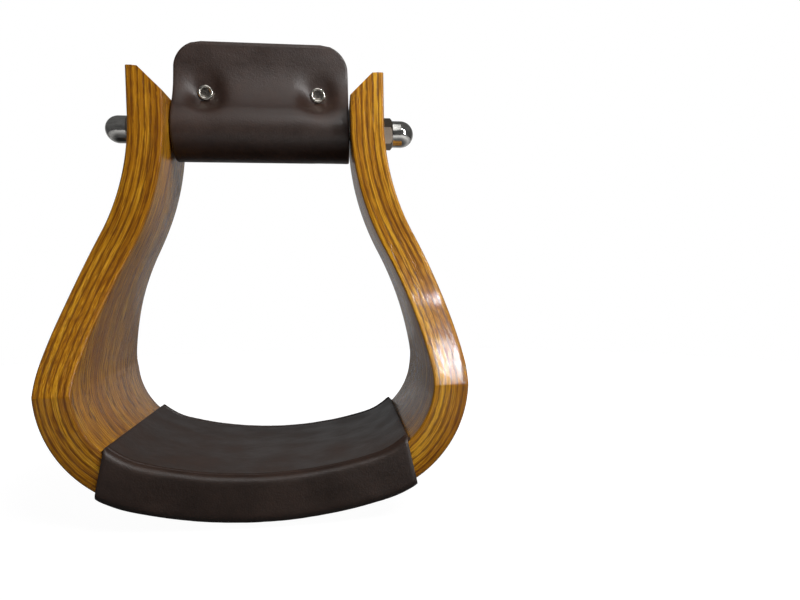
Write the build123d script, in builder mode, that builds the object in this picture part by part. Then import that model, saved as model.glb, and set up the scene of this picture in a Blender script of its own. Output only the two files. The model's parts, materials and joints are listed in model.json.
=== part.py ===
from build123d import *
from math import acos, cos, degrees, radians, sin, sqrt, tan
import os

# Western bell stirrup: a bentwood frame of glued oak plies, a leather-covered tread laced
# underneath, and a leather-wrapped roller that turns on the bolt through the neck.
#
# Frame: +Z up, X across the stirrup from arm to arm, Y along the rider's foot.
# The origin is under the middle of the tread, on the surface that the stirrup stands on.
# Millimetres.

# Laminated frame
ply_thickness = 2.5
ply_count = 6
wall = ply_count * ply_thickness
neck_gap = 80.0  # between the arms, where the strap passes
waist_radius = 122.0  # inner face, where the neck flares into the arm
waist_turn = 27.7  # degrees from upright where the flare ends and the bowed arm begins
arm_radius = 193.0  # inner face of the bowed arm
corner_radius = 34.5  # inner face
tread_radius = 176.0  # inner face
tread_half_angle = 15.7  # degrees of the tread arc on each side of the middle
frame_height = 190.0  # wood, from the underside of the tread to the arm tips

# Side view of the frame
tread_depth = 101.6
neck_depth = 48.0
taper_start = 52.5  # above the underside of the wood
taper_slant = 28.0  # degrees from upright
taper_radius = 90.0

# Arm tips
tip_flat = 4.8
tip_bevel = 45.0  # degrees

# Tread cover and lace
cover_thickness = 2.5
cover_end_x = 60.8  # at the top of the cover's cut end
cover_end_height = 30.8  # above the underside of the wood
cover_end_slant = 12.4  # degrees from upright
cover_edge_radius = 2.2
seam_width = 0.5
notch_length = 9.0
notch_half_width = 4.5
lace_width = 5.0
lace_thickness = 2.5
lace_half_span = 11.5
lace_pitch = 5.3
lace_turns_each_side = 10
lace_root = 0.6  # thickness of the web that joins the turns at their feet
lace_edge_radius = 1.5

# Bolt and nuts
bolt_height = 167.5  # above the underside of the wood
bolt_radius = 3.97
bolt_hole_radius = 4.1
bolt_end_in_nut = 11.0
nut_across_flats = 13.0
nut_turn = 45.0  # degrees, from level round to a corner of the hexagon
nut_hex_length = 5.4
nut_length = 15.5
nut_chamfer = 1.1
dome_radius = 6.2
nut_bore_radius = 4.0
nut_bore_depth = 12.0
nut_seat_radius = 8.5  # flat spot cut where the flare begins under the nut

# Roller, leather wrap and rivets
roller_radius = 11.5
roller_bore_radius = 4.05
roller_length = 79.2
wrap_thickness = 2.8
wrap_width = 79.2
wrap_height = 40.2  # tab above the bolt axis
wrap_corner_radius = 12.5
leaf_gap = 0.2
wrap_neck_radius = 3.0  # outside, where the leaves open round the roller
rivet_x = 25.5
rivet_height = 16.8  # above the bolt axis
rivet_seat_radius = 3.7  # pressed flat into the leather under each head
rivet_head_radius = 3.5
rivet_head_height = 1.1
rivet_head_edge_radius = 0.66
rivet_dimple_radius = 2.0
rivet_dimple_depth = 0.5
rivet_shank_radius = 1.5
rivet_hole_radius = 1.6
rivet_cap_bore_radius = 1.53
rivet_shank_in_cap = 0.55
rivet_cap_bore_depth = 0.6

# Worked out from the driving dimensions
wood_bottom = cover_thickness + lace_thickness
wood_top = wood_bottom + frame_height
bolt_z = wood_bottom + bolt_height
half_gap = neck_gap / 2
arm_outer_x = half_gap + wall
# Each arc starts along the direction in which the one before it ends, which leaves one slant
# from upright at which the bowed arm can run into the corner.
arm_foot_slant = degrees(
    acos(
        (
            (tread_radius - corner_radius) * sin(radians(tread_half_angle))
            + arm_radius * cos(radians(waist_turn))
            - half_gap
            - waist_radius * (1 - cos(radians(waist_turn)))
        )
        / (arm_radius - corner_radius)
    )
)
neck_bottom_z = (
    wood_bottom
    + wall
    + tread_radius
    - (tread_radius - corner_radius) * cos(radians(tread_half_angle))
    - (arm_radius - corner_radius) * sin(radians(arm_foot_slant))
    + (arm_radius + waist_radius) * sin(radians(waist_turn))
)
taper_arc_depth = taper_radius * (1 - cos(radians(taper_slant)))
taper_straight_height = (
    (tread_depth - neck_depth) / 2 - taper_arc_depth
) / tan(radians(taper_slant))
beyond = 5.0  # how far a cutting shape runs past what it cuts
sliver = 0.1  # smallest step between two faces that have to stay apart


def half_outline(offset):
    """Right half of the bell, the given distance outside the wood's inner face."""
    start = (half_gap + offset, wood_top)
    neck = Line(start, (half_gap + offset, neck_bottom_z))
    waist = JernArc(neck @ 1, neck % 1, waist_radius - offset, waist_turn)
    arm_turn = waist_turn - arm_foot_slant
    arm = JernArc(waist @ 1, waist % 1, arm_radius + offset, -arm_turn)
    corner_turn = 90 + arm_foot_slant - tread_half_angle
    corner = JernArc(arm @ 1, arm % 1, corner_radius + offset, -corner_turn)
    JernArc(corner @ 1, corner % 1, tread_radius + offset, -tread_half_angle)


def bell_face(inner_offset, outer_offset):
    """Face of the band between two offsets from the wood's inner face."""
    with BuildSketch() as band:
        with BuildLine():
            half_outline(inner_offset)
            half_outline(outer_offset)
            Line((half_gap + inner_offset, wood_top), (half_gap + outer_offset, wood_top))
            mirror(about=Plane.YZ)
        make_face()
    return band.sketch


def side_face():
    """Side view of the wood: deep at the tread, tapering to the narrow neck."""
    half_tread = tread_depth / 2
    taper_z = wood_bottom + taper_start
    straight_end = (
        half_tread - taper_straight_height * tan(radians(taper_slant)),
        taper_z + taper_straight_height,
    )
    with BuildSketch() as side_view:
        with BuildLine():
            Line((0, 0), (half_tread, 0))
            edge = Line((half_tread, 0), (half_tread, taper_z))
            taper = Line(edge @ 1, straight_end)
            curve = JernArc(taper @ 1, taper % 1, taper_radius, -taper_slant)
            neck = Line(curve @ 1, (neck_depth / 2, wood_top + beyond))
            Line(neck @ 1, (0, wood_top + beyond))
            mirror(about=Plane.YZ)
        make_face()
    return side_view.sketch


def tip_bevel_face():
    """What the bevels take off the inner sides of both arm tips."""
    edge_x = arm_outer_x - tip_flat
    inner_x = half_gap - beyond
    drop = tan(radians(tip_bevel))
    with BuildSketch() as bevel:
        with BuildLine():
            Polyline(
                (edge_x + beyond, wood_top + beyond * drop),
                (inner_x, wood_top - (edge_x - inner_x) * drop),
                (inner_x, wood_top + beyond * drop),
                close=True,
            )
        make_face()
        mirror(about=Plane.YZ)
    return bevel.sketch


def save(piece, name):
    piece.part.label = name
    export_step(piece.part, f"parts/{name}.step")


def make_ply(number):
    """One bent oak ply, number 1 being the innermost."""
    with BuildPart() as ply:
        with BuildSketch(Plane.XZ):
            add(bell_face((number - 1) * ply_thickness, number * ply_thickness))
        extrude(amount=tread_depth / 2, both=True)
        with BuildSketch(Plane.YZ):
            add(side_face())
        extrude(amount=2 * arm_outer_x, both=True, mode=Mode.INTERSECT)
        with BuildSketch(Plane.XZ):
            add(tip_bevel_face())
        extrude(amount=tread_depth / 2, both=True, mode=Mode.SUBTRACT)
        with BuildSketch(Plane.YZ):
            with Locations((0, bolt_z)):
                Circle(bolt_hole_radius)
        extrude(amount=arm_outer_x + beyond, both=True, mode=Mode.SUBTRACT)
        for side in (-1, 1):
            with BuildSketch(Plane.YZ.offset(side * arm_outer_x)):
                with Locations((0, bolt_z)):
                    Circle(nut_seat_radius)
            extrude(amount=side * beyond, mode=Mode.SUBTRACT)
    return ply


def cover_zone():
    """Between the two slanted cuts at the ends of the tread cover."""
    low_z = -beyond
    high_z = wood_bottom + cover_end_height + beyond
    lean = tan(radians(cover_end_slant))
    high_x = cover_end_x - beyond * lean
    low_x = high_x + (high_z - low_z) * lean
    with BuildSketch() as zone:
        with BuildLine():
            Polyline(
                (low_x, low_z),
                (high_x, high_z),
                (-high_x, high_z),
                (-low_x, low_z),
                close=True,
            )
        make_face()
    return zone.sketch


def make_tread_leather():
    """Leather round the tread, with its butt seam and end notches underneath."""
    half_depth = tread_depth / 2 + cover_thickness
    seam_top = wood_bottom + wall - seam_width
    seam_end = cover_end_x + 2 * beyond
    with BuildPart() as leather:
        with BuildSketch(Plane.XZ):
            add(bell_face(-cover_thickness, wall + cover_thickness))
        extrude(amount=half_depth, both=True)
        with BuildSketch(Plane.XZ):
            add(cover_zone())
        extrude(amount=half_depth, both=True, mode=Mode.INTERSECT)
        front_and_back = leather.faces().filter_by(Axis.Y)
        wrapped_edges = front_and_back.edges().filter_by(GeomType.CIRCLE)
        fillet(wrapped_edges, cover_edge_radius)
        with BuildSketch(Plane.XZ):
            add(bell_face(0, wall))
        extrude(amount=tread_depth / 2, both=True, mode=Mode.SUBTRACT)
        with BuildSketch(Plane.XY.offset(-beyond)):
            Rectangle(2 * seam_end, seam_width)
            with BuildLine():
                Polyline(
                    (cover_end_x - notch_length + beyond, 0),
                    (seam_end, notch_half_width),
                    (seam_end, -notch_half_width),
                    close=True,
                )
                mirror(about=Plane.YZ)
            make_face()
        extrude(amount=seam_top + beyond, mode=Mode.SUBTRACT)
    return leather


def make_tread_lace():
    """Rawhide lace: flat turns side by side across the seam, joined where they touch."""
    outer_radius = tread_radius + wall + cover_thickness
    small_radius = corner_radius + wall + cover_thickness
    tread_center_z = wood_bottom + wall + tread_radius
    arc_length = outer_radius * radians(tread_half_angle)
    corner_x = (tread_radius - corner_radius) * sin(radians(tread_half_angle))
    corner_z = tread_center_z - (tread_radius - corner_radius) * cos(
        radians(tread_half_angle)
    )
    zone_x = lace_turns_each_side * lace_pitch
    with BuildPart() as lace:
        with BuildSketch(Plane.XZ):
            add(bell_face(wall + cover_thickness, wall + cover_thickness + lace_root))
        extrude(amount=lace_half_span - lace_thickness, both=True)
        with BuildSketch(Plane.XZ):
            Rectangle(2 * zone_x, 2 * wood_bottom + 2 * wall)
        extrude(amount=lace_half_span, both=True, mode=Mode.INTERSECT)
        for turn in range(-lace_turns_each_side, lace_turns_each_side + 1):
            along = turn * lace_pitch
            if abs(along) <= arc_length:
                angle = along / outer_radius
                center_x, center_z, radius = 0, tread_center_z, outer_radius
            else:
                side = 1 if along > 0 else -1
                past = (abs(along) - arc_length) / small_radius
                angle = side * (radians(tread_half_angle) + past)
                center_x, center_z, radius = side * corner_x, corner_z, small_radius
            outward = Vector(sin(angle), 0, -cos(angle))
            foot = Vector(center_x, 0, center_z) + outward * radius
            across = Plane(foot, x_dir=(0, 1, 0), z_dir=(cos(angle), 0, sin(angle)))
            height_sign = 1 if across.y_dir.dot(outward) > 0 else -1
            with BuildSketch(across) as section:
                with Locations((0, height_sign * lace_thickness / 2)):
                    Rectangle(2 * lace_half_span, lace_thickness)
                outer_corners = section.vertices().sort_by(Axis.Y)
                raised = outer_corners[2:] if height_sign > 0 else outer_corners[:2]
                fillet(raised, lace_edge_radius)
            extrude(amount=lace_width / 2, both=True)
    return lace


def make_cap_nut(side):
    """Dome nut on the outer face of one arm; side is 1 at +X and -1 at -X."""
    corner = nut_across_flats / sqrt(3)
    axis_plane = Plane((side * arm_outer_x, 0, bolt_z), x_dir=(side, 0, 0), z_dir=(0, 1, 0))
    turning_axis = Axis((side * arm_outer_x, 0, bolt_z), (1, 0, 0))
    face_plane = Plane((side * arm_outer_x, 0, bolt_z), x_dir=(0, 1, 0), z_dir=(side, 0, 0))
    with BuildPart() as nut:
        with BuildSketch(face_plane):
            RegularPolygon(corner, 6, rotation=nut_turn)
        extrude(amount=nut_hex_length)
        with BuildSketch(axis_plane):
            with BuildLine():
                Polyline(
                    (0, 0),
                    (0, corner + sliver),
                    (nut_hex_length - nut_chamfer, corner + sliver),
                    (nut_hex_length, dome_radius),
                    (nut_hex_length, 0),
                    close=True,
                )
            make_face()
        revolve(axis=turning_axis, mode=Mode.INTERSECT)
        with BuildSketch(axis_plane):
            with BuildLine():
                base = Line((nut_hex_length / 2, 0), (nut_hex_length / 2, dome_radius))
                side_line = Line(base @ 1, (nut_length - dome_radius, dome_radius))
                RadiusArc(side_line @ 1, (nut_length, 0), dome_radius)
                Line((nut_length, 0), base @ 0)
            make_face()
        revolve(axis=turning_axis)
        with BuildSketch(face_plane):
            Circle(nut_bore_radius)
        extrude(amount=nut_bore_depth, mode=Mode.SUBTRACT)
    return nut


def make_bolt():
    with BuildPart() as bolt:
        with BuildSketch(Plane.YZ):
            with Locations((0, bolt_z)):
                Circle(bolt_radius)
        extrude(amount=arm_outer_x + bolt_end_in_nut, both=True)
    return bolt


def make_roller():
    with BuildPart() as roller:
        with BuildSketch(Plane.YZ):
            with Locations((0, bolt_z)):
                Circle(roller_radius)
                Circle(roller_bore_radius, mode=Mode.SUBTRACT)
        extrude(amount=roller_length / 2, both=True)
    return roller


def teardrop_face(radius, tab_depth, neck_radius):
    """Round below with a flat tab above, flaring into each other at the neck."""
    with BuildSketch() as teardrop:
        with Locations((0, bolt_z)):
            Circle(radius)
            Rectangle(tab_depth, wrap_height, align=(Align.CENTER, Align.MIN))
        tab_top = teardrop.vertices().group_by(Axis.Y)[-1]
        tab_sides = teardrop.vertices().filter_by(
            lambda vertex: abs(abs(vertex.X) - tab_depth / 2) < sliver / 4
        )
        fillet(tab_sides - tab_top, neck_radius)
    return teardrop.sketch


def make_bolt_wrap():
    """Leather strap folded under the roller, its two leaves standing up as a tab."""
    outer_radius = roller_radius + wrap_thickness
    tab_depth = 2 * wrap_thickness + leaf_gap
    wrap_total = wrap_height + outer_radius
    with BuildPart() as wrap:
        with BuildSketch(Plane.YZ):
            add(teardrop_face(outer_radius, tab_depth, wrap_neck_radius))
            add(
                teardrop_face(roller_radius, leaf_gap, wrap_neck_radius + wrap_thickness),
                mode=Mode.SUBTRACT,
            )
        extrude(amount=wrap_width / 2, both=True)
        with BuildSketch(Plane.XZ) as front:
            with Locations((0, bolt_z - outer_radius)):
                Rectangle(wrap_width, wrap_total, align=(Align.CENTER, Align.MIN))
            fillet(front.vertices().group_by(Axis.Y)[-1], wrap_corner_radius)
        extrude(amount=2 * outer_radius, both=True, mode=Mode.INTERSECT)
        with BuildSketch(Plane.XZ):
            with Locations((0, bolt_z + rivet_height)):
                with GridLocations(2 * rivet_x, 0, 2, 1):
                    Circle(rivet_hole_radius)
        extrude(amount=2 * outer_radius, both=True, mode=Mode.SUBTRACT)
        for way in (-1, 1):
            with BuildSketch(Plane.XZ.offset(way * tab_depth / 2)):
                with Locations((0, bolt_z + rivet_height)):
                    with GridLocations(2 * rivet_x, 0, 2, 1):
                        Circle(rivet_seat_radius)
            extrude(amount=way * outer_radius, mode=Mode.SUBTRACT)
    return wrap


def make_rivet_post(side):
    """Headed post of one rivet, its head on the front leaf at -Y."""
    leaf_face = wrap_thickness + leaf_gap / 2
    center = (side * rivet_x, bolt_z + rivet_height)
    with BuildPart() as post:
        with BuildSketch(Plane.XZ.offset(leaf_face)):
            with Locations(center):
                Circle(rivet_head_radius)
        extrude(amount=rivet_head_height)
        fillet(post.edges().sort_by(Axis.Y)[0], rivet_head_edge_radius)
        with BuildSketch(Plane.XZ.offset(leaf_face)):
            with Locations(center):
                Circle(rivet_shank_radius)
        extrude(amount=-(2 * leaf_face + rivet_shank_in_cap))
        with BuildSketch(Plane.XZ.offset(leaf_face + rivet_head_height)):
            with Locations(center):
                Circle(rivet_dimple_radius)
        extrude(amount=-rivet_dimple_depth, mode=Mode.SUBTRACT)
    return post


def make_rivet_cap(side):
    """Cap of one rivet on the back leaf, closed over the end of the post's shank."""
    leaf_face = wrap_thickness + leaf_gap / 2
    center = (side * rivet_x, bolt_z + rivet_height)
    with BuildPart() as cap:
        with BuildSketch(Plane.XZ.offset(-leaf_face)):
            with Locations(center):
                Circle(rivet_head_radius)
        extrude(amount=-rivet_head_height)
        fillet(cap.edges().sort_by(Axis.Y)[-1], rivet_head_edge_radius)
        with BuildSketch(Plane.XZ.offset(-leaf_face)):
            with Locations(center):
                Circle(rivet_cap_bore_radius)
        extrude(amount=-rivet_cap_bore_depth, mode=Mode.SUBTRACT)
    return cap


os.makedirs("parts", exist_ok=True)
for ply_number in range(1, ply_count + 1):
    save(make_ply(ply_number), f"oak_ply_{ply_number}")
save(make_tread_leather(), "tread_leather")
save(make_tread_lace(), "tread_lace")
save(make_bolt(), "stirrup_bolt")
save(make_cap_nut(-1), "left_cap_nut")
save(make_cap_nut(1), "right_cap_nut")
save(make_roller(), "bolt_roller")
save(make_bolt_wrap(), "bolt_wrap")
save(make_rivet_post(-1), "left_rivet_post")
save(make_rivet_post(1), "right_rivet_post")
save(make_rivet_cap(-1), "left_rivet_cap")
save(make_rivet_cap(1), "right_rivet_cap")
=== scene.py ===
"""Looks of the western bell stirrup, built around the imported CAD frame.

Shapes are worked out in millimetres and written to the meshes in metres. Wood, tread leather and
lace are laid out in the unbent plank's own coordinates: s along the bell from the middle of the
tread, positive to +X; offset outwards from the wood's inner face; y across the tread.
"""

import json
import random
from math import acos, asin, atan2, ceil, copysign, cos, exp, hypot, pi, radians, sin, sqrt, tan

import bpy
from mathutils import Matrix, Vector, noise


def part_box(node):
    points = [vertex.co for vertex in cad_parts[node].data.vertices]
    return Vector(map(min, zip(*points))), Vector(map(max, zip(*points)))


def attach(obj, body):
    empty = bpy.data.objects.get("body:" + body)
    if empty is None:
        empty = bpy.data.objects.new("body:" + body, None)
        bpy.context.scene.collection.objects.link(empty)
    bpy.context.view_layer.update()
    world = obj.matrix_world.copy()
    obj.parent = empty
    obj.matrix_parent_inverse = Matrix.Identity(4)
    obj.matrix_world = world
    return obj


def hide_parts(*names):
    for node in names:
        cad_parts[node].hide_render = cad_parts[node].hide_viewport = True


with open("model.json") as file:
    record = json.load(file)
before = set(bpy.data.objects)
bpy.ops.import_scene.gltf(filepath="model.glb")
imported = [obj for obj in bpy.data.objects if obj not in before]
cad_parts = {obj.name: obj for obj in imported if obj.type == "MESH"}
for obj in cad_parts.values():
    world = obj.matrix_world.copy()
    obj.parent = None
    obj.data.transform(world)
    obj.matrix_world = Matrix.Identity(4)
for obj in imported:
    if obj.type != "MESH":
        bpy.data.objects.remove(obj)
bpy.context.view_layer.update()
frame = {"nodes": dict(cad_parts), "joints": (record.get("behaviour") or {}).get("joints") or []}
MM = 0.001
random.seed(7)

# ---------------------------------------------------------------- sizes, from the frame
PLIES = sorted(name for name in frame["nodes"] if name.startswith("oak_ply_"))
outer_low, outer_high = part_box(PLIES[-1])
inner_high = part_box(PLIES[0])[1]
cover_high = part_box("tread_leather")[1]
wrap_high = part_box("bolt_wrap")[1]

PLY = (outer_high.x - inner_high.x) / MM / (len(PLIES) - 1)
WALL = PLY * len(PLIES)
WOOD_BOTTOM = outer_low.z / MM
WOOD_TOP = outer_high.z / MM
TREAD_HALF = outer_high.y / MM
COVER = cover_high.y / MM - TREAD_HALF
BOLT_Z = frame["joints"][0]["pos_m"][2] / MM

# ---------------------------------------------------------------- sizes, as in the CAD model
NECK_HALF_GAP = 40.0
NECK_HALF_DEPTH = 24.0
WAIST_RADIUS = 122.0
WAIST_TURN = radians(27.7)
ARM_RADIUS = 193.0
CORNER_RADIUS = 34.5
TREAD_RADIUS = 176.0
TREAD_ANGLE = radians(15.7)
TAPER_START = WOOD_BOTTOM + 52.5
TAPER_SLANT = radians(28.0)
TAPER_RADIUS = 90.0
TIP_FLAT = 4.8
COVER_END_X = 60.8
COVER_END_Z = WOOD_BOTTOM + 30.8
COVER_END_SLANT = radians(12.4)

MIDDLE = WALL / 2  # lengths along the bell are measured at this offset
TREAD_CENTER_Z = WOOD_BOTTOM + WALL + TREAD_RADIUS
CORNER_X = (TREAD_RADIUS - CORNER_RADIUS) * sin(TREAD_ANGLE)
CORNER_Z = TREAD_CENTER_Z - (TREAD_RADIUS - CORNER_RADIUS) * cos(TREAD_ANGLE)
FOOT_SLANT = acos(
    (
        CORNER_X
        + ARM_RADIUS * cos(WAIST_TURN)
        - NECK_HALF_GAP
        - WAIST_RADIUS * (1 - cos(WAIST_TURN))
    )
    / (ARM_RADIUS - CORNER_RADIUS)
)
ARM_CENTER = (
    CORNER_X - (ARM_RADIUS - CORNER_RADIUS) * cos(FOOT_SLANT),
    CORNER_Z - (ARM_RADIUS - CORNER_RADIUS) * sin(FOOT_SLANT),
)
WAIST_CENTER = (
    NECK_HALF_GAP + WAIST_RADIUS,
    ARM_CENTER[1] + (ARM_RADIUS + WAIST_RADIUS) * sin(WAIST_TURN),
)
# how far the outward normal has turned from straight down where one arc passes into the next
CORNER_ANGLE = pi / 2 + FOOT_SLANT
ARM_ANGLE = pi / 2 + WAIST_TURN
TREAD_END = (TREAD_RADIUS + MIDDLE) * TREAD_ANGLE
CORNER_END = TREAD_END + (CORNER_RADIUS + MIDDLE) * (CORNER_ANGLE - TREAD_ANGLE)
ARM_END = CORNER_END + (ARM_RADIUS + MIDDLE) * (ARM_ANGLE - CORNER_ANGLE)
WAIST_END = ARM_END + (WAIST_RADIUS - MIDDLE) * WAIST_TURN
BELL_END = WAIST_END + WOOD_TOP - WAIST_CENTER[1]


def bell(s, offset):
    """Point (x, z) of the bell and its outward normal (x, z), in millimetres."""
    side = -1 if s < 0 else 1
    s = abs(s)
    if s <= TREAD_END:
        angle = s / (TREAD_RADIUS + MIDDLE)
        radius = TREAD_RADIUS + offset
        x, z = radius * sin(angle), TREAD_CENTER_Z - radius * cos(angle)
    elif s <= CORNER_END:
        angle = TREAD_ANGLE + (s - TREAD_END) / (CORNER_RADIUS + MIDDLE)
        radius = CORNER_RADIUS + offset
        x, z = CORNER_X + radius * sin(angle), CORNER_Z - radius * cos(angle)
    elif s <= ARM_END:
        angle = CORNER_ANGLE + (s - CORNER_END) / (ARM_RADIUS + MIDDLE)
        radius = ARM_RADIUS + offset
        x, z = ARM_CENTER[0] + radius * sin(angle), ARM_CENTER[1] - radius * cos(angle)
    elif s <= WAIST_END:
        angle = ARM_ANGLE - (s - ARM_END) / (WAIST_RADIUS - MIDDLE)
        radius = WAIST_RADIUS - offset
        x, z = WAIST_CENTER[0] - radius * sin(angle), WAIST_CENTER[1] + radius * cos(angle)
    else:
        angle = pi / 2
        x, z = NECK_HALF_GAP + offset, WAIST_CENTER[1] + s - WAIST_END
    return side * x, z, side * sin(angle), -cos(angle)


def half_depth(z):
    """Half of the wood's depth at height z: full low down, then the taper, then the neck."""
    turn_depth = TAPER_RADIUS * (1 - cos(TAPER_SLANT))
    straight = (TREAD_HALF - NECK_HALF_DEPTH - turn_depth) / tan(TAPER_SLANT)
    turn_start = TAPER_START + straight
    turn_end = turn_start + TAPER_RADIUS * sin(TAPER_SLANT)
    if z <= TAPER_START:
        return TREAD_HALF
    if z <= turn_start:
        return TREAD_HALF - (z - TAPER_START) * tan(TAPER_SLANT)
    if z < turn_end:
        return NECK_HALF_DEPTH + TAPER_RADIUS - sqrt(TAPER_RADIUS**2 - (turn_end - z) ** 2)
    return NECK_HALF_DEPTH


def tip_height(offset):
    """Top of an arm: flat outside, bevelled at 45 degrees towards the inside."""
    return WOOD_TOP - max(0.0, WALL - TIP_FLAT - offset)


# ---------------------------------------------------------------- mesh helpers
def new_object(name, points, faces, body, material=None, smooth_angle=40):
    """A mesh object from points in millimetres, riding on a CAD body."""
    mesh = bpy.data.meshes.new(name)
    mesh.from_pydata([Vector(point) * MM for point in points], [], faces)
    mesh.validate()
    mesh.polygons.foreach_set("use_smooth", [True] * len(mesh.polygons))
    mesh.set_sharp_from_angle(angle=radians(smooth_angle))
    thing = bpy.data.objects.new(name, mesh)
    bpy.context.scene.collection.objects.link(thing)
    if material:
        mesh.materials.append(material)
    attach(thing, body)
    return thing


def loop_faces(rows, count):
    """Quads between successive closed loops of count points, with both ends capped."""
    faces = []
    for row in range(rows - 1):
        for k in range(count):
            a, b = row * count + k, row * count + (k + 1) % count
            faces.append((a, b, b + count, a + count))
    faces.append(tuple(reversed(range(count))))
    faces.append(tuple(range((rows - 1) * count, rows * count)))
    return faces


def skin_faces(rows, count):
    """Faces of a sheet with two skins, each rows by count points, closed along all four edges.

    The points of the second skin follow those of the first.
    """
    base = rows * count
    faces = []
    for row in range(rows - 1):
        for k in range(count - 1):
            a = row * count + k
            b = base + a
            faces.append((a, a + count, a + count + 1, a + 1))
            faces.append((b, b + 1, b + count + 1, b + count))
        for k, flip in ((0, False), (count - 1, True)):
            a = row * count + k
            quad = (a, base + a, base + a + count, a + count)
            faces.append(tuple(reversed(quad)) if flip else quad)
    for row, flip in ((0, False), (rows - 1, True)):
        for k in range(count - 1):
            a = row * count + k
            quad = (a, a + 1, base + a + 1, base + a)
            faces.append(tuple(reversed(quad)) if flip else quad)
    return faces


def path_length(path):
    """Length of a run of points, from their first two numbers."""
    return sum(hypot(b[0] - a[0], b[1] - a[1]) for a, b in zip(path, path[1:]))


def bell_curve(distance, width):
    """1 at no distance, falling smoothly to nothing over a few widths."""
    return exp(-((distance / width) ** 2))


def spread(low, high, step):
    """Even steps from low to high, none longer than step."""
    count = max(1, ceil(abs(high - low) / step - 1e-6))
    return [low + (high - low) * i / count for i in range(count + 1)]


def lathe(name, profile, center, axis, body, material, segments=48):
    """Turns a profile of (height along axis, radius) about the axis through center."""
    axis = Vector(axis).normalized()
    side = axis.orthogonal().normalized()
    third = axis.cross(side)
    points, faces = [], []
    for height, radius in profile:
        for k in range(segments):
            angle = 2 * pi * k / segments
            around = side * cos(angle) + third * sin(angle)
            points.append(Vector(center) + axis * height + around * radius)
    faces = loop_faces(len(profile), segments)
    turned = new_object(name, points, faces, body, material)
    rim = turned.data.attributes.new("rim", "FLOAT", "POINT")
    rim.data.foreach_set("value", [r * MM for _h, r in profile for _k in range(segments)])
    return turned


# ---------------------------------------------------------------- node helpers
class Nodes:
    """Small helper that adds nodes to a material and links them."""

    def __init__(self, name):
        self.material = bpy.data.materials.new(name)
        self.material.use_nodes = True
        self.tree = self.material.node_tree
        self.tree.nodes.clear()
        self.output = self.tree.nodes.new("ShaderNodeOutputMaterial")
        self.shader = self.tree.nodes.new("ShaderNodeBsdfPrincipled")
        self.tree.links.new(self.shader.outputs["BSDF"], self.output.inputs["Surface"])

    def feed(self, socket, value):
        """Links a node's output to a socket, or sets the socket to a plain value."""
        if isinstance(value, bpy.types.NodeSocket):
            self.tree.links.new(value, socket)
        else:
            socket.default_value = value

    def set(self, **values):
        """Feeds the shader's sockets, named with _ for the spaces."""
        for name, value in values.items():
            self.feed(self.shader.inputs[name.replace("_", " ")], value)

    def attribute(self, name, output="Vector"):
        node = self.tree.nodes.new("ShaderNodeAttribute")
        node.attribute_name = name
        return node.outputs[output]

    def object_coordinates(self):
        return self.tree.nodes.new("ShaderNodeTexCoord").outputs["Object"]

    def scaled(self, vector, scale, location=(0, 0, 0)):
        node = self.tree.nodes.new("ShaderNodeMapping")
        self.feed(node.inputs["Vector"], vector)
        node.inputs["Scale"].default_value = scale
        node.inputs["Location"].default_value = location
        return node.outputs["Vector"]

    def noise(self, vector, scale=1.0, detail=3.0, roughness=0.55):
        node = self.tree.nodes.new("ShaderNodeTexNoise")
        self.feed(node.inputs["Vector"], vector)
        node.inputs["Scale"].default_value = scale
        node.inputs["Detail"].default_value = detail
        node.inputs["Roughness"].default_value = roughness
        node.inputs["Distortion"].default_value = 0.0
        return node.outputs["Fac"]

    def pebbles(self, vector, scale):
        """Distance from the middle of the nearest rounded cell."""
        node = self.tree.nodes.new("ShaderNodeTexVoronoi")
        node.feature = "SMOOTH_F1"
        self.feed(node.inputs["Vector"], vector)
        node.inputs["Scale"].default_value = scale
        return node.outputs["Distance"]

    def math(self, operation, *values):
        node = self.tree.nodes.new("ShaderNodeMath")
        node.operation = operation
        for socket, value in zip(node.inputs, values):
            self.feed(socket, value)
        return node.outputs["Value"]

    def between(self, value, low, high, to_low=0.0, to_high=1.0):
        """Smooth step from to_low at low to to_high at high."""
        node = self.tree.nodes.new("ShaderNodeMapRange")
        node.interpolation_type = "SMOOTHSTEP"
        for socket, number in zip(node.inputs[:5], (value, low, high, to_low, to_high)):
            self.feed(socket, number)
        return node.outputs["Result"]

    def split(self, vector):
        """Outputs X, Y and Z of a vector."""
        node = self.tree.nodes.new("ShaderNodeSeparateXYZ")
        self.feed(node.inputs[0], vector)
        return node.outputs

    def ramp(self, value, *stops):
        """Colour between stops of (position, colour)."""
        node = self.tree.nodes.new("ShaderNodeValToRGB")
        self.feed(node.inputs["Fac"], value)
        elements = node.color_ramp.elements
        while len(elements) < len(stops):
            elements.new(0.5)
        for element, (position, colour) in zip(elements, stops):
            element.position = position
            element.color = (*colour, 1)
        return node.outputs["Color"]

    def mix(self, factor, first, second):
        """Colour that goes from first to second as factor goes from 0 to 1."""
        node = self.tree.nodes.new("ShaderNodeMix")
        node.data_type = "RGBA"
        sockets = [s for s in node.inputs if s.enabled]
        for socket, value in zip(sockets, (factor, first, second)):
            if isinstance(value, tuple) and len(value) == 3:
                value = (*value, 1)
            self.feed(socket, value)
        return next(s for s in node.outputs if s.enabled)

    def bump(self, height, distance, strength=1.0, normal=None):
        node = self.tree.nodes.new("ShaderNodeBump")
        node.inputs["Strength"].default_value = strength
        node.inputs["Distance"].default_value = distance
        self.feed(node.inputs["Height"], height)
        if normal:
            self.feed(node.inputs["Normal"], normal)
        return node.outputs["Normal"]


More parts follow.
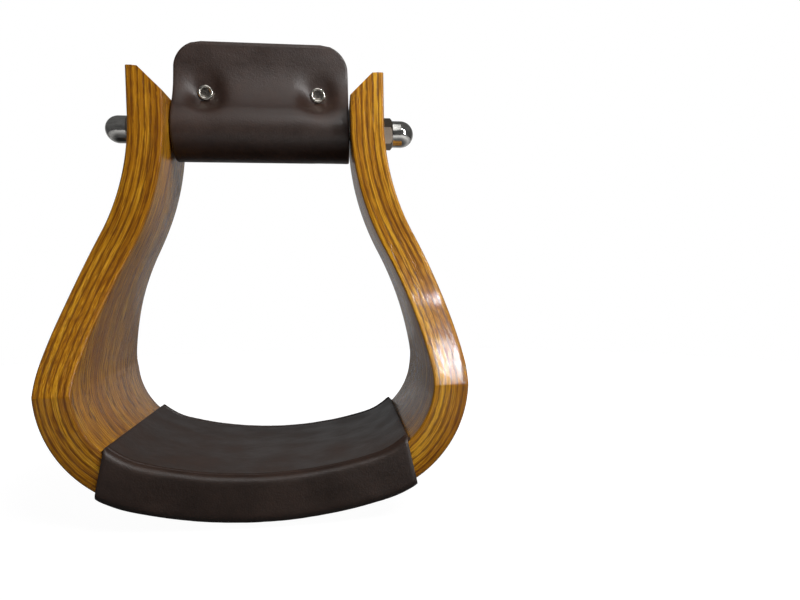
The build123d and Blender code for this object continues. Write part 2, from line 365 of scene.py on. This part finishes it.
# ---------------------------------------------------------------- materials
OAK_DARK = (0.220, 0.068, 0.002)
OAK_MIDDLE = (0.470, 0.182, 0.004)
OAK_LIGHT = (0.820, 0.420, 0.024)
OAK_PORE = (0.095, 0.028, 0.003)
OAK_GLUE = (0.130, 0.038, 0.002)
OAK_STRIPE = (0.110, 0.040, 0.008)
CUT_STRETCH = 0.22  # grain on a cut edge is drawn out along the ply by one over this
GLUE_HALF = (0.12 * MM, 0.62 * MM)  # full and no colour, from the middle of a glue line
RAGGED_GLUE = 1.6 * MM


def oak_material(number):
    """Varnished oak of one ply, its grain laid along the bent plank.

    The mesh attribute plank is the place in the unbent plank; cut is 1 on a ply's sawn edges and
    0 on its broad faces.
    """
    n = Nodes(f"oak_{number}")
    plank = n.attribute("plank")
    cut = n.attribute("cut", "Fac")
    own = (0.31 * number, 0.17 * number, 0.0)
    squeeze = n.tree.nodes.new("ShaderNodeCombineXYZ")
    squeeze.inputs["X"].default_value = 1.0
    squeeze.inputs["Z"].default_value = 1.0
    n.feed(squeeze.inputs["Y"], n.between(cut, 0.0, 1.0, 1.0, CUT_STRETCH))
    drawn = n.tree.nodes.new("ShaderNodeVectorMath")
    drawn.operation = "MULTIPLY"
    n.feed(drawn.inputs[0], plank)
    n.feed(drawn.inputs[1], squeeze.outputs[0])

    def along(length, width, detail=3.0, roughness=0.55):
        """Noise with features of a length along the grain and a width across it, in mm."""
        scale = (1 / (length * MM), 1 / (width * MM), 1 / (width * MM))
        return n.noise(n.scaled(drawn.outputs[0], scale, own), detail=detail, roughness=roughness)

    tone = along(130, 9)
    fibre = along(16, 0.45, 3, 0.65)
    rings = along(75, 3.2, 2, 0.45)
    broken = along(6.5, 1.3, 2)
    ticks = along(4.5, 0.4, 1)
    ridge = n.math("ABSOLUTE", n.math("SUBTRACT", rings, 0.5))
    line = n.between(ridge, 0.010, 0.034, 1.0, 0.0)
    pores = n.math("MULTIPLY", line, n.between(broken, 0.42, 0.56))
    pores = n.math("MAXIMUM", pores, n.between(ticks, 0.64, 0.74, 0.0, 0.7))
    mixed = n.math("ADD", n.math("MULTIPLY", tone, 0.45), n.math("MULTIPLY", fibre, 0.55))
    shade = 0.035 * random.uniform(-1, 1)
    colour = n.ramp(
        n.math("ADD", mixed, shade),
        (0.34, OAK_DARK),
        (0.48, OAK_MIDDLE),
        (0.62, OAK_LIGHT),
    )
    depth = n.between(cut, 0.0, 0.6, 0.80, 0.38)
    colour = n.mix(n.math("MULTIPLY", pores, depth), colour, OAK_PORE)
    from_glue = n.math("PINGPONG", n.split(plank)["Z"], PLY / 2 * MM)
    ragged = n.math("MULTIPLY", n.math("SUBTRACT", along(7, 1.6), 0.5), RAGGED_GLUE)
    glue = n.between(n.math("ADD", from_glue, ragged), *GLUE_HALF, 1.0, 0.0)
    glue = n.math("MULTIPLY", n.math("MULTIPLY", glue, cut), 0.78)
    colour = n.mix(glue, colour, OAK_GLUE)
    stripe = n.math("ABSOLUTE", n.math("SUBTRACT", along(60, 2.0, 3, 0.6), 0.5))
    lengthwise = n.between(stripe, 0.0, 0.07, 0.62, 0.0)
    lengthwise = n.math("MULTIPLY", lengthwise, n.math("SUBTRACT", 1.0, cut))
    colour = n.mix(lengthwise, colour, OAK_STRIPE)
    relief = n.math("SUBTRACT", n.math("MULTIPLY", fibre, 0.5), pores)
    n.set(
        Base_Color=colour,
        Roughness=0.45,
        Specular_IOR_Level=0.1,
        Coat_Weight=n.between(along(5, 0.35, 2), 0.40, 0.60, 0.15, 1.0),
        Coat_Roughness=0.13,
        Coat_IOR=1.45,
        Normal=n.bump(relief, 0.00008, 0.8),
        Coat_Normal=n.bump(relief, 0.00006, 0.7),
    )
    return n.material


def leather_material(name, colour, roughness):
    """Smooth leather with a fine pebbled grain and a cloudy dye."""
    n = Nodes(name)
    place = n.object_coordinates()
    pebble = n.pebbles(place, 1500)
    wrinkle = n.noise(place, 420, 4, 0.6)
    mottle = n.noise(place, 55, 3, 0.5)
    lighter = tuple(1.45 * c for c in colour)
    darker = tuple(0.72 * c for c in colour)
    shade = n.ramp(
        n.math("ADD", n.math("MULTIPLY", mottle, 0.7), n.math("MULTIPLY", wrinkle, 0.3)),
        (0.34, darker),
        (0.50, colour),
        (0.68, lighter),
    )
    fine = n.bump(n.math("MULTIPLY", pebble, -1.0), 0.00009, 0.55)
    both = n.bump(wrinkle, 0.00012, 0.5, fine)
    n.set(
        Base_Color=shade,
        Roughness=n.between(mottle, 0.3, 0.7, roughness - 0.06, roughness + 0.07),
        Specular_IOR_Level=0.70,
        Normal=both,
    )
    return n.material


def rawhide_material():
    """Pale, fuzzy and matt."""
    n = Nodes("rawhide")
    place = n.object_coordinates()
    fuzz = n.noise(place, 900, 5, 0.7)
    blotch = n.noise(place, 130, 3, 0.5)
    colour = n.ramp(
        n.math("ADD", n.math("MULTIPLY", fuzz, 0.45), n.math("MULTIPLY", blotch, 0.55)),
        (0.32, (0.200, 0.120, 0.046)),
        (0.50, (0.430, 0.290, 0.135)),
        (0.68, (0.600, 0.430, 0.220)),
    )
    n.set(Base_Color=colour, Roughness=0.72, Normal=n.bump(fuzz, 0.00025, 0.6))
    return n.material


SMEAR_ROUGHNESS = 0.05
HEXAGON_END = (60.2 * MM, 60.6 * MM)  # out from the middle: a nut's flats end, its dome begins
# painted reflection: the hexagon's metal is coloured darker brown-grey in place of the dimmer,
# warmer things it reflects
HEXAGON_PAINTED_REFLECTION = (0.44, 0.36, 0.29)
PITTED_EDGE = (2.0 * MM, 2.4 * MM)  # radius at which a rivet head's pitted middle ends


def metal_material(name, colour, roughness, pitted_or_painted_part=None):
    """Polished metal. The dark part is the pitted middle of a rivet head, or a nut's hexagon,
    whose darker brown-grey colour is a painted reflection of dimmer, warmer surroundings.
    """
    n = Nodes(name)
    place = n.object_coordinates()
    smear = n.noise(n.scaled(place, (1, 3, 3)), 260, 3, 0.6)
    fine = n.noise(place, 2600, 2, 0.6)
    dull = tuple(0.72 * c for c in colour)
    shade = n.ramp(smear, (0.35, dull), (0.60, colour))
    # painted reflection on the nut's hexagon, darker and browner than the dome
    if pitted_or_painted_part == "hexagon":
        out = n.math("ABSOLUTE", n.split(place)["X"])
        shade = n.mix(n.between(out, *HEXAGON_END), HEXAGON_PAINTED_REFLECTION, shade)
    if pitted_or_painted_part == "middle":
        pitted = n.ramp(
            n.noise(place, 1500, 2),
            (0.35, (0.16, 0.14, 0.12)),
            (0.65, (0.5, 0.46, 0.4)),
        )
        rim = n.attribute("rim", "Fac")
        shade = n.mix(n.between(rim, *PITTED_EDGE), pitted, shade)
    n.set(
        Base_Color=shade,
        Metallic=1.0,
        Roughness=n.between(smear, 0.3, 0.7, roughness, roughness + SMEAR_ROUGHNESS),
        Normal=n.bump(fine, 0.00001, 0.25),
    )
    return n.material


def plastic_material():
    """Dull black moulded plastic."""
    n = Nodes("roller_plastic")
    place = n.object_coordinates()
    speck = n.noise(place, 700, 3, 0.6)
    shade = n.ramp(speck, (0.35, (0.018, 0.018, 0.018)), (0.65, (0.035, 0.034, 0.033)))
    n.set(Base_Color=shade, Roughness=0.5, Normal=n.bump(speck, 0.00004, 0.4))
    return n.material


# ---------------------------------------------------------------- oak plies
ARRIS = 1.0
ARRIS_STEPS = 4
BELL_STEP = 2.4
CORNER_STEP = 1.6
WAIST_STEP = 2.0
CREASE_STEP = 0.5
CREASE_REACH = 3.0
NECK_RUN = 6.0  # the rest of the neck is straight, so it needs no more stations


def bell_stations():
    """Lengths along one half of the bell, closer together at the crease of the taper."""
    stations = spread(0, TREAD_END, BELL_STEP)
    crease = CORNER_END - (CORNER_RADIUS + MIDDLE) * (
        CORNER_ANGLE - pi / 2 + asin((CORNER_Z - TAPER_START) / (CORNER_RADIUS + MIDDLE))
    )
    for low, high, pace in (
        (TREAD_END, crease - CREASE_REACH, CORNER_STEP),
        (crease - CREASE_REACH, crease + CREASE_REACH, CREASE_STEP),
        (crease + CREASE_REACH, CORNER_END, CORNER_STEP),
        (CORNER_END, ARM_END, BELL_STEP),
        (ARM_END, WAIST_END, WAIST_STEP),
        (WAIST_END, WAIST_END + NECK_RUN, BELL_STEP),
    ):
        stations += spread(low, high, pace)[1:]
    return stations


def ply_section(low, high, round_inner, round_outer):
    """Closed loop of (offset, side of y, distance in from the wood's edge, cut) round a ply."""

    def corner(offset, inward, side, rounded):
        if not rounded:
            return [(offset, side, 0.0, 1.0)]
        ring = []
        for k in range(ARRIS_STEPS + 1):
            angle = pi / 2 * k / ARRIS_STEPS
            depth = ARRIS * (1 - cos(angle))
            back = ARRIS * (1 - sin(angle))
            ring.append((offset + inward * depth, side, back, sin(angle)))
        return ring

    front_inner = corner(low, 1, -1, round_inner)
    front_outer = corner(high, -1, -1, round_outer)[::-1]
    back_outer = corner(high, -1, 1, round_outer)
    back_inner = corner(low, 1, 1, round_inner)[::-1]
    return front_inner + front_outer + back_outer + back_inner


def make_ply(number):
    """One bent ply. The first and last have rounded arrises; the others are square."""
    low, high = (number - 1) * PLY, number * PLY
    section = ply_section(low, high, number == 1, number == len(PLIES))
    half = bell_stations()
    stations = [-s for s in reversed(half[1:])] + half
    tips = [-BELL_END] + stations + [BELL_END]
    points, plank = [], []
    for s in tips:
        for offset, side, back, _cut in section:
            x, z, _nx, _nz = bell(s, offset)
            if abs(s) == BELL_END:
                z = tip_height(offset)
            y = side * (half_depth(z) - back)
            points.append((x, y, z))
            plank.append((s * MM, y * MM, offset * MM))
    count = len(section)
    ply = new_object(
        f"wood_{number}", points, loop_faces(len(tips), count), "frame", oak_material(number)
    )
    mesh = ply.data
    grain = mesh.attributes.new("plank", "FLOAT_VECTOR", "POINT")
    grain.data.foreach_set("vector", [value for point in plank for value in point])
    cut = mesh.attributes.new("cut", "FLOAT", "CORNER")
    for polygon in mesh.polygons:
        columns = [mesh.loops[index].vertex_index % count for index in polygon.loop_indices]
        sides = {section[c][1] for c in columns}
        flat = len(sides) == 2 and len(columns) == 4
        for index, column in zip(polygon.loop_indices, columns):
            cut.data[index].value = 0.0 if flat else section[column][3]
    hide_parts(f"oak_ply_{number}")
    return ply


# ---------------------------------------------------------------- tread leather
SEAM_HALF = 0.25
FLAP_RADIUS = 7.0
TOP_BEAD = 3.0
LOW_EDGE = 3.6
EDGE_ARC_STEPS = 6
FINE_BAND = 8.0  # in from the front edge, where the top of the cover has finer steps
BEAD_HEIGHT = 0.30
BEAD_WIDTH = 0.9
GROOVE_FROM_EDGE = 4.4
GROOVE_DEPTH = 1.2
GROOVE_WIDTH = 0.8
HOLE_DIMPLE = 0.55
HOLE_RADIUS = 1.9
SEAM_SINK = 0.35
SEAM_WIDTH = 1.2
COVER_ROWS = 70  # on each side of the middle
CUT_ROUND = 0.5
CUT_WIDTH = 0.7
SLIM = 0.01  # tolerance for telling which face a point is on
LACE_PITCH = 5.3
LACE_TURNS_EACH_SIDE = 10
LACE_REACH = 11.5


def cover_end(offset):
    """Length along the bell at which the slanted end of the tread cover crosses an offset."""
    low, high = TREAD_END, CORNER_END
    for _ in range(40):
        middle = (low + high) / 2
        x, z, _nx, _nz = bell(middle, offset)
        if x < COVER_END_X + (COVER_END_Z - z) * tan(COVER_END_SLANT):
            low = middle
        else:
            high = middle
    return low


def edge_arc(offset, y, radius, start):
    """Quarter turn of (offset, y) about a centre."""
    angles = [start + pi / 2 * k / EDGE_ARC_STEPS for k in range(EDGE_ARC_STEPS + 1)]
    return [(offset + radius * cos(a), y + radius * sin(a)) for a in angles]


def cover_loop():
    """Outside of the tread leather as (offset, y), from the seam by way of the front edge."""
    under, edge = WALL + COVER, TREAD_HALF + COVER
    first_half = [(under, -y) for y in spread(SEAM_HALF, edge - LOW_EDGE, 1.1)]
    first_half += [
        (o, -y) for o, y in edge_arc(under - LOW_EDGE, edge - LOW_EDGE, LOW_EDGE, 0)
    ][1:]
    first_half += [(o, -edge) for o in spread(under - LOW_EDGE, TOP_BEAD - COVER, 1.6)][1:]
    first_half += [
        (o, -y) for o, y in edge_arc(TOP_BEAD - COVER, edge - TOP_BEAD, TOP_BEAD, pi / 2)
    ][1:]
    top = spread(edge - TOP_BEAD, edge - FINE_BAND, 0.4)[1:]
    top += spread(edge - FINE_BAND, 0, 1.2)[1:]
    first_half += [(-COVER, -y) for y in top]
    return first_half + [(o, -y) for o, y in reversed(first_half[:-1])]


def cover_relief(s, offset, y):
    """How far the leather stands above (+) or below (-) its even thickness."""
    edge = TREAD_HALF + COVER - abs(y)
    spot = Vector((s, y, 3 * offset))
    relief = 0.10 * noise.noise(spot * 0.09) + 0.05 * noise.noise(spot * 0.35)
    if offset < -COVER + SLIM:
        relief -= GROOVE_DEPTH * bell_curve(edge - GROOVE_FROM_EDGE, GROOVE_WIDTH)
        relief += BEAD_HEIGHT * bell_curve(edge - TOP_BEAD, BEAD_WIDTH)
        relief += 0.10 * noise.noise(Vector((s * 0.9, y * 0.25, 0))) * bell_curve(edge, 4)
    if offset > WALL + COVER - SLIM:
        turn = round(s / LACE_PITCH)
        if abs(turn) <= LACE_TURNS_EACH_SIDE:
            near = hypot(s - turn * LACE_PITCH, (abs(y) - LACE_REACH) * 0.7)
            relief -= HOLE_DIMPLE * bell_curve(near, HOLE_RADIUS)
        relief -= SEAM_SINK * bell_curve(y, SEAM_WIDTH)
        relief += 0.12 * cos(2 * pi * s / LACE_PITCH) * bell_curve(abs(y) - 14, 4)
    return relief


def make_tread_leather(material):
    """The cover round the tread: an outer skin with relief over an inner one on the wood."""
    loop = cover_loop()
    shares = [u / COVER_ROWS for u in range(-COVER_ROWS, COVER_ROWS + 1)]
    outer, inner = [], []
    for u in shares:
        ends_in = 1 - abs(u)
        for offset, y in loop:
            end = cover_end(offset)
            if offset > WALL + COVER - SLIM and abs(y) < FLAP_RADIUS:
                end -= FLAP_RADIUS - sqrt(FLAP_RADIUS**2 - (FLAP_RADIUS - abs(y)) ** 2)
            s = u * end
            rise = cover_relief(s, offset, y) - CUT_ROUND * bell_curve(ends_in * end, CUT_WIDTH)
            on_edge = abs(y) > TREAD_HALF + SLIM
            x, z, nx, nz = bell(s, offset)
            if -COVER + SLIM < offset < WALL + COVER - SLIM and on_edge:
                outer.append((x, y + rise * (1 if y > 0 else -1), z))
            else:
                way = 1 if offset > WALL / 2 else -1
                outer.append((x + nx * rise * way, y, z + nz * rise * way))
            deep = min(max(offset, 0.0), WALL)
            side = min(max(y, -TREAD_HALF), TREAD_HALF)
            x, z, _nx, _nz = bell(u * end, deep)
            inner.append((x, side, z))
    faces = skin_faces(len(shares), len(loop))
    leather = new_object("tread_cover", outer + inner, faces, "frame", material, 35)
    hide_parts("tread_leather")
    return leather


# ---------------------------------------------------------------- lace
LACE_WIDTH = 4.9
LACE_THICKNESS = 2.4
LACE_ROWS = 15
LACE_RING = 12
LACE_LEAN = 0.35
LACE_SINK = 1.75
LACE_PLAIN = 0.72  # share of a turn's half that runs level before it dives
LACE_SQUARE = 0.75  # under 1 is squarer than a round section


def make_lace(material):
    """Flat turns of rawhide across the seam, each diving into a hole on either side."""
    points, faces = [], []
    outside = WALL + COVER
    for turn in range(-LACE_TURNS_EACH_SIDE, LACE_TURNS_EACH_SIDE + 1):
        middle = turn * LACE_PITCH
        lean = LACE_LEAN + 0.12 * random.uniform(-1, 1)
        swell = 1 + 0.05 * random.uniform(-1, 1)
        first = len(points)
        for row in range(LACE_ROWS):
            t = -1 + 2 * row / (LACE_ROWS - 1)
            y = t * (LACE_REACH + 0.15 * random.uniform(-1, 1))
            end = max(0.0, (abs(t) - LACE_PLAIN) / (1 - LACE_PLAIN))
            sunk = LACE_SINK * end**2.2
            narrow = 1 - (0.62 if t > 0 else 0.35) * end**1.8
            half = LACE_WIDTH / 2 * narrow * swell
            thick = LACE_THICKNESS * (1 - 0.25 * end)
            for k in range(LACE_RING):
                angle = 2 * pi * k / LACE_RING
                across = copysign(abs(cos(angle)) ** LACE_SQUARE, cos(angle)) * half
                up = copysign(abs(sin(angle)) ** LACE_SQUARE, sin(angle)) * thick / 2
                s = middle + across + lean * t
                x, z, _nx, _nz = bell(s, outside + thick / 2 + up - sunk - 0.05)
                points.append((x, y, z))
        faces += [tuple(first + v for v in face) for face in loop_faces(LACE_ROWS, LACE_RING)]
    lace = new_object("seam_lace", points, faces, "frame", material, 60)
    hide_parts("tread_lace")
    return lace


# ---------------------------------------------------------------- bolt wrap
ROLLER_RADIUS = 11.5
WRAP_THICKNESS = 2.8
LEAF_GAP = 0.2
NECK_FILLET = 30.0
WRAP_CORNER = 12.5
RIVET_X = 25.5
RIVET_HEIGHT = 16.8
RIVET_PRESS = 0.5
RIVET_SEAT = 3.7
RIVET_PUCKER = 4.6
LEAF_FACE = WRAP_THICKNESS + LEAF_GAP / 2
CUT_BEVEL = 0.7
EDGE_COLUMNS = (0, 0.12, 0.4, 0.9)  # in from each side of the strap
PLAIN_COLUMNS_FROM = 1.8
COLUMN_STEP = 1.05
SKIN_GAP = 0.02  # the outer skin stays this much under the full thickness
INNER_GAP = 0.05


def wrap_path():
    """Middle of the strap's thickness as (y, height above the axis, outward normal y, height)."""
    leaf = -(WRAP_THICKNESS + LEAF_GAP) / 2
    radius = ROLLER_RADIUS + WRAP_THICKNESS / 2
    fillet_y = leaf - NECK_FILLET
    fillet_h = sqrt((radius + NECK_FILLET) ** 2 - fillet_y**2)
    turn = atan2(fillet_h, -fillet_y)
    top = wrap_high.z / MM - BOLT_Z
    path = [(leaf, h, -1.0, 0.0) for h in spread(top, fillet_h, 1.0)]
    for angle in spread(0, turn, radians(9))[1:]:
        path.append(
            (fillet_y + NECK_FILLET * cos(angle), fillet_h - NECK_FILLET * sin(angle),
             -cos(angle), sin(angle))
        )
    for angle in spread(pi - turn, 3 * pi / 2, radians(4))[1:]:
        path.append((radius * cos(angle), radius * sin(angle), cos(angle), sin(angle)))
    return path + [(-y, h, -ny, nh) for y, h, ny, nh in reversed(path[:-1])]


def make_bolt_wrap(material):
    """The strap folded under the roller, its two leaves pressed together by the rivets."""
    path = wrap_path()
    half = wrap_high.x / MM
    top = wrap_high.z / MM - BOLT_Z
    columns = [-half + c for c in EDGE_COLUMNS]
    columns += spread(-half + PLAIN_COLUMNS_FROM, half - PLAIN_COLUMNS_FROM, COLUMN_STEP)
    columns += [half - c for c in reversed(EDGE_COLUMNS)]
    outer, inner = [], []
    for row, (y, h, ny, nh) in enumerate(path):
        from_top = min(path_length(path[: row + 1]), path_length(path[row:]))
        drop = max(0.0, WRAP_CORNER - from_top)
        pull = WRAP_CORNER - sqrt(max(0.0, WRAP_CORNER**2 - drop**2))
        for x in columns:
            here = x * (half - pull) / half
            from_cut = min(half - pull - abs(here), from_top)
            over = max(0.0, CUT_BEVEL - from_cut)
            bevel = CUT_BEVEL - sqrt(max(0.0, CUT_BEVEL**2 - over**2))
            near = hypot(abs(here) - RIVET_X, h - RIVET_HEIGHT)
            press = bell_curve(max(0.0, near - RIVET_SEAT), RIVET_PUCKER) if h > 0 else 0.0
            wave = 0.16 * noise.noise(Vector((here * 0.05, y * 0.2, h * 0.09)))
            wave += 0.05 * noise.noise(Vector((here * 0.3, y * 0.6, h * 0.3)))
            way = -1 if y < 0 else 1
            lift = WRAP_THICKNESS / 2 - bevel + min(wave, 0.0) - SKIN_GAP
            out_y = y + ny * lift
            out_y += press * (way * (LEAF_FACE - RIVET_PRESS) - out_y)
            outer.append((here, out_y, BOLT_Z + h + nh * lift))
            sink = WRAP_THICKNESS / 2 - INNER_GAP - 0.4 * bevel
            in_y = y - ny * sink
            in_y += press * (way * LEAF_GAP / 2 - in_y)
            inner.append((here, in_y, BOLT_Z + h - nh * sink))
    faces = skin_faces(len(path), len(columns))
    wrap = new_object("roller_wrap", outer + inner, faces, "roller", material, 45)
    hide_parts("bolt_wrap")
    return wrap


# ---------------------------------------------------------------- rivets
RIVET_SUNK = 0.35  # the head's rim lies this much under the leaf's face
# a rolled rim round a shallow dish, as (height, radius) from the foot to the middle
RIVET_PROFILE = (
    (-1.2, 0.05), (-1.2, 3.42), (0.55, 3.5), (0.85, 3.42), (1.05, 3.18), (1.1, 2.85),
    (1.07, 2.5), (0.95, 2.3), (0.72, 2.12), (0.62, 1.6), (0.58, 1.0), (0.60, 0.05),
)


def make_rivets(material):
    """A post head on the front leaf and a cap on the back one, at each of the two holes."""
    for side, label in ((-1, "left"), (1, "right")):
        for way, kind in ((-1, "post"), (1, "cap")):
            spot = (side * RIVET_X, way * (LEAF_FACE - RIVET_SUNK), BOLT_Z + RIVET_HEIGHT)
            name = f"{label}_rivet_{kind}_head"
            rivet = lathe(name, RIVET_PROFILE, spot, (0, way, 0), "roller", material)
            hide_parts(f"{label}_rivet_{kind}")


# ---------------------------------------------------------------- camera
CAMERA_PLACE = (31.55, -350.5, 103.42)
CAMERA_YAW = -8.108
CAMERA_PITCH = -3.743
CAMERA_ROLL = -0.543
LENS = 32.28
SENSOR_WIDTH = 36
SHIFT = (-0.04636, 0.03077)


def add_camera():
    """A camera facing +Y, then turned by its yaw, pitch and roll, in degrees."""
    data = bpy.data.cameras.new("camera")
    camera = bpy.data.objects.new("camera", data)
    bpy.context.scene.collection.objects.link(camera)
    yaw, pitch, roll = (radians(a) for a in (CAMERA_YAW, CAMERA_PITCH, CAMERA_ROLL))
    forward = Vector((-sin(yaw) * cos(pitch), cos(yaw) * cos(pitch), sin(pitch)))
    right = Vector((cos(yaw), sin(yaw), 0))
    up = right.cross(forward)
    matrix = camera.matrix_world.to_3x3()
    matrix.col[0] = right * cos(roll) + up * sin(roll)
    matrix.col[1] = up * cos(roll) - right * sin(roll)
    matrix.col[2] = -forward
    camera.matrix_world = matrix.to_4x4()
    camera.location = Vector(CAMERA_PLACE) * MM
    data.lens = LENS
    data.sensor_width = SENSOR_WIDTH
    data.shift_x, data.shift_y = SHIFT
    data.clip_start = 0.01
    bpy.context.scene.camera = camera


# ---------------------------------------------------------------- the stirrup
add_camera()
for number in range(1, len(PLIES) + 1):
    make_ply(number)
make_tread_leather(leather_material("tread_leather_skin", (0.0262, 0.0120, 0.0068), 0.45))
make_lace(rawhide_material())
make_bolt_wrap(leather_material("wrap_leather_skin", (0.0262, 0.0107, 0.0056), 0.43))
make_rivets(metal_material("nickel_plate", (0.80, 0.76, 0.68), 0.20, pitted_or_painted_part="middle"))
steel = metal_material("polished_steel", (0.86, 0.84, 0.80), 0.07, pitted_or_painted_part="hexagon")
bolt_steel = metal_material("bolt_steel", (0.50, 0.49, 0.47), 0.25)
for name, material in (
    ("left_cap_nut", steel),
    ("right_cap_nut", steel),
    ("stirrup_bolt", bolt_steel),
    ("bolt_roller", plastic_material()),
):
    node = frame["nodes"][name]
    node.data.materials.clear()
    node.data.materials.append(material)

# ---------------------------------------------------------------- studio
SKY_STOPS = ((0.0, 0.07), (0.25, 0.08), (0.55, 0.10), (1.0, 0.10))  # (height, grey)
BACK_GLOW = 0.33  # a soft light wall low down behind the stirrup, seen in its gloss


def add_links(tree, *pairs):
    """Links each (output, input) pair of sockets."""
    for start, end in pairs:
        tree.links.new(start, end)


def smooth_range(tree, low, high, top=1.0):
    """A node that steps smoothly from 0 at low to top at high."""
    node = tree.nodes.new("ShaderNodeMapRange")
    node.interpolation_type = "SMOOTHSTEP"
    node.inputs["From Min"].default_value = low
    node.inputs["From Max"].default_value = high
    node.inputs["To Max"].default_value = top
    return node


def add_world():
    """White to the camera; to everything else a dim grey sky with the glow at the back."""
    world = bpy.data.worlds.new("studio")
    bpy.context.scene.world = world
    world.use_nodes = True
    tree = world.node_tree
    tree.nodes.clear()
    place = tree.nodes.new("ShaderNodeTexCoord")
    split = tree.nodes.new("ShaderNodeSeparateXYZ")
    sky = tree.nodes.new("ShaderNodeValToRGB")
    light = tree.nodes.new("ShaderNodeBackground")
    white = tree.nodes.new("ShaderNodeBackground")
    path = tree.nodes.new("ShaderNodeLightPath")
    mix = tree.nodes.new("ShaderNodeMixShader")
    output = tree.nodes.new("ShaderNodeOutputWorld")
    while len(sky.color_ramp.elements) < len(SKY_STOPS):
        sky.color_ramp.elements.new(0.5)
    for element, (position, grey) in zip(sky.color_ramp.elements, SKY_STOPS):
        element.position = position
        element.color = (grey, grey, grey, 1)
    white.inputs["Color"].default_value = (1, 1, 1, 1)
    back = smooth_range(tree, 0.45, 0.90, BACK_GLOW)
    low = smooth_range(tree, 0.50, 0.02)
    glow = tree.nodes.new("ShaderNodeMath")
    glow.operation = "MULTIPLY"
    total = tree.nodes.new("ShaderNodeVectorMath")
    total.operation = "ADD"
    add_links(
        tree,
        (place.outputs["Generated"], split.inputs[0]),
        (split.outputs["Z"], sky.inputs["Fac"]),
        (split.outputs["Y"], back.inputs["Value"]),
        (split.outputs["Z"], low.inputs["Value"]),
        (back.outputs["Result"], glow.inputs[0]),
        (low.outputs["Result"], glow.inputs[1]),
        (sky.outputs["Color"], total.inputs[0]),
        (glow.outputs[0], total.inputs[1]),
        (total.outputs["Vector"], light.inputs["Color"]),
        (path.outputs["Is Camera Ray"], mix.inputs[0]),
        (light.outputs[0], mix.inputs[1]),
        (white.outputs[0], mix.inputs[2]),
        (mix.outputs[0], output.inputs["Surface"]),
    )


FLOOR_RADIUS = 0.7
FLOOR_SIDES = 96
FLOOR_DROP = 0.0002
PAPER_SHADE_REACH = (0.12, 0.38)  # distance from the stirrup over which the paper's painted shade goes from dark to light
# near and far grey of the paper: painted shade round the stirrup, seen in its reflections
PAPER_SHADE_GREY = (0.10, 0.85)
PAPER_GLOW = 0.97


def paper_material():
    """Paper lit up for the camera only and clear from below; to other rays it is painted dark
    grey near the stirrup as painted shade, and pale farther out.
    """
    paper = Nodes("paper")
    tree = paper.tree
    spot = paper.object_coordinates()
    reach = tree.nodes.new("ShaderNodeVectorMath")
    reach.operation = "LENGTH"
    paper.feed(reach.inputs[0], spot)
    grain = paper.math("MULTIPLY", paper.noise(spot, 300, 3), 0.05)
    # painted shade: darker paper close to the stirrup
    shade = paper.between(reach.outputs["Value"], *PAPER_SHADE_REACH, *PAPER_SHADE_GREY)
    paper.set(
        Base_Color=paper.math("ADD", grain, shade),
        Roughness=0.95,
        Specular_IOR_Level=0.1,
    )
    glow = tree.nodes.new("ShaderNodeEmission")
    glow.inputs["Strength"].default_value = PAPER_GLOW
    lit = tree.nodes.new("ShaderNodeAddShader")
    path = tree.nodes.new("ShaderNodeLightPath")
    top = tree.nodes.new("ShaderNodeMixShader")
    side = tree.nodes.new("ShaderNodeNewGeometry")
    clear = tree.nodes.new("ShaderNodeBsdfTransparent")
    both = tree.nodes.new("ShaderNodeMixShader")
    add_links(
        tree,
        (paper.shader.outputs[0], lit.inputs[0]),
        (glow.outputs[0], lit.inputs[1]),
        (path.outputs["Is Camera Ray"], top.inputs[0]),
        (paper.shader.outputs[0], top.inputs[1]),
        (lit.outputs[0], top.inputs[2]),
        (side.outputs["Backfacing"], both.inputs[0]),
        (top.outputs[0], both.inputs[1]),
        (clear.outputs[0], both.inputs[2]),
        (both.outputs[0], paper.output.inputs["Surface"]),
    )
    return paper.material


def add_floor():
    """A disc of paper just under the tread, left out of the part itself."""
    mesh = bpy.data.meshes.new("floor")
    turns = [2 * pi * k / FLOOR_SIDES for k in range(FLOOR_SIDES)]
    rim = [(FLOOR_RADIUS * cos(a), FLOOR_RADIUS * sin(a), 0.0) for a in turns]
    mesh.from_pydata(rim, [], [tuple(range(FLOOR_SIDES))])
    mesh.materials.append(paper_material())
    floor = bpy.data.objects.new("floor", mesh)
    bpy.context.scene.collection.objects.link(floor)
    floor.location.z = -FLOOR_DROP


def softbox(name, place, target, size, power, diffuse=True, glossy=True):
    """A soft light at a place in metres, turned towards a target."""
    data = bpy.data.lights.new(name, "AREA")
    data.shape = "RECTANGLE"
    data.size, data.size_y = size
    data.energy = power
    light = bpy.data.objects.new(name, data)
    bpy.context.scene.collection.objects.link(light)
    light.location = place
    way = Vector(target) - Vector(place)
    light.rotation_euler = way.to_track_quat("-Z", "Y").to_euler()
    light.visible_diffuse = diffuse
    light.visible_glossy = glossy


add_world()
add_floor()
KEY_PLACE = (0.188, -0.42, 0.508)
SOFT_PLACE = (0.26, -0.32, 0.50)
SHEEN_PLACE = (0.0, -0.45, 0.85)
EDGE_PLACE = (0.36, -0.40, 0.27)
softbox("key_strip", KEY_PLACE, (0.08, -0.05, 0.07), (0.026, 0.034), 0.70, diffuse=False)
softbox("key_soft", SOFT_PLACE, (0.02, 0.0, 0.10), (0.4, 0.3), 3.1, glossy=False)
softbox("sheen_box", SHEEN_PLACE, (0.0, 0.0, 0.10), (0.28, 1.0), 1.1, diffuse=False)
softbox("edge_strip", EDGE_PLACE, (0.0, 0.0, 0.09), (0.04, 0.36), 1.6, diffuse=False)
view = bpy.context.scene.view_settings
view.view_transform = "Standard"
view.look = "None"
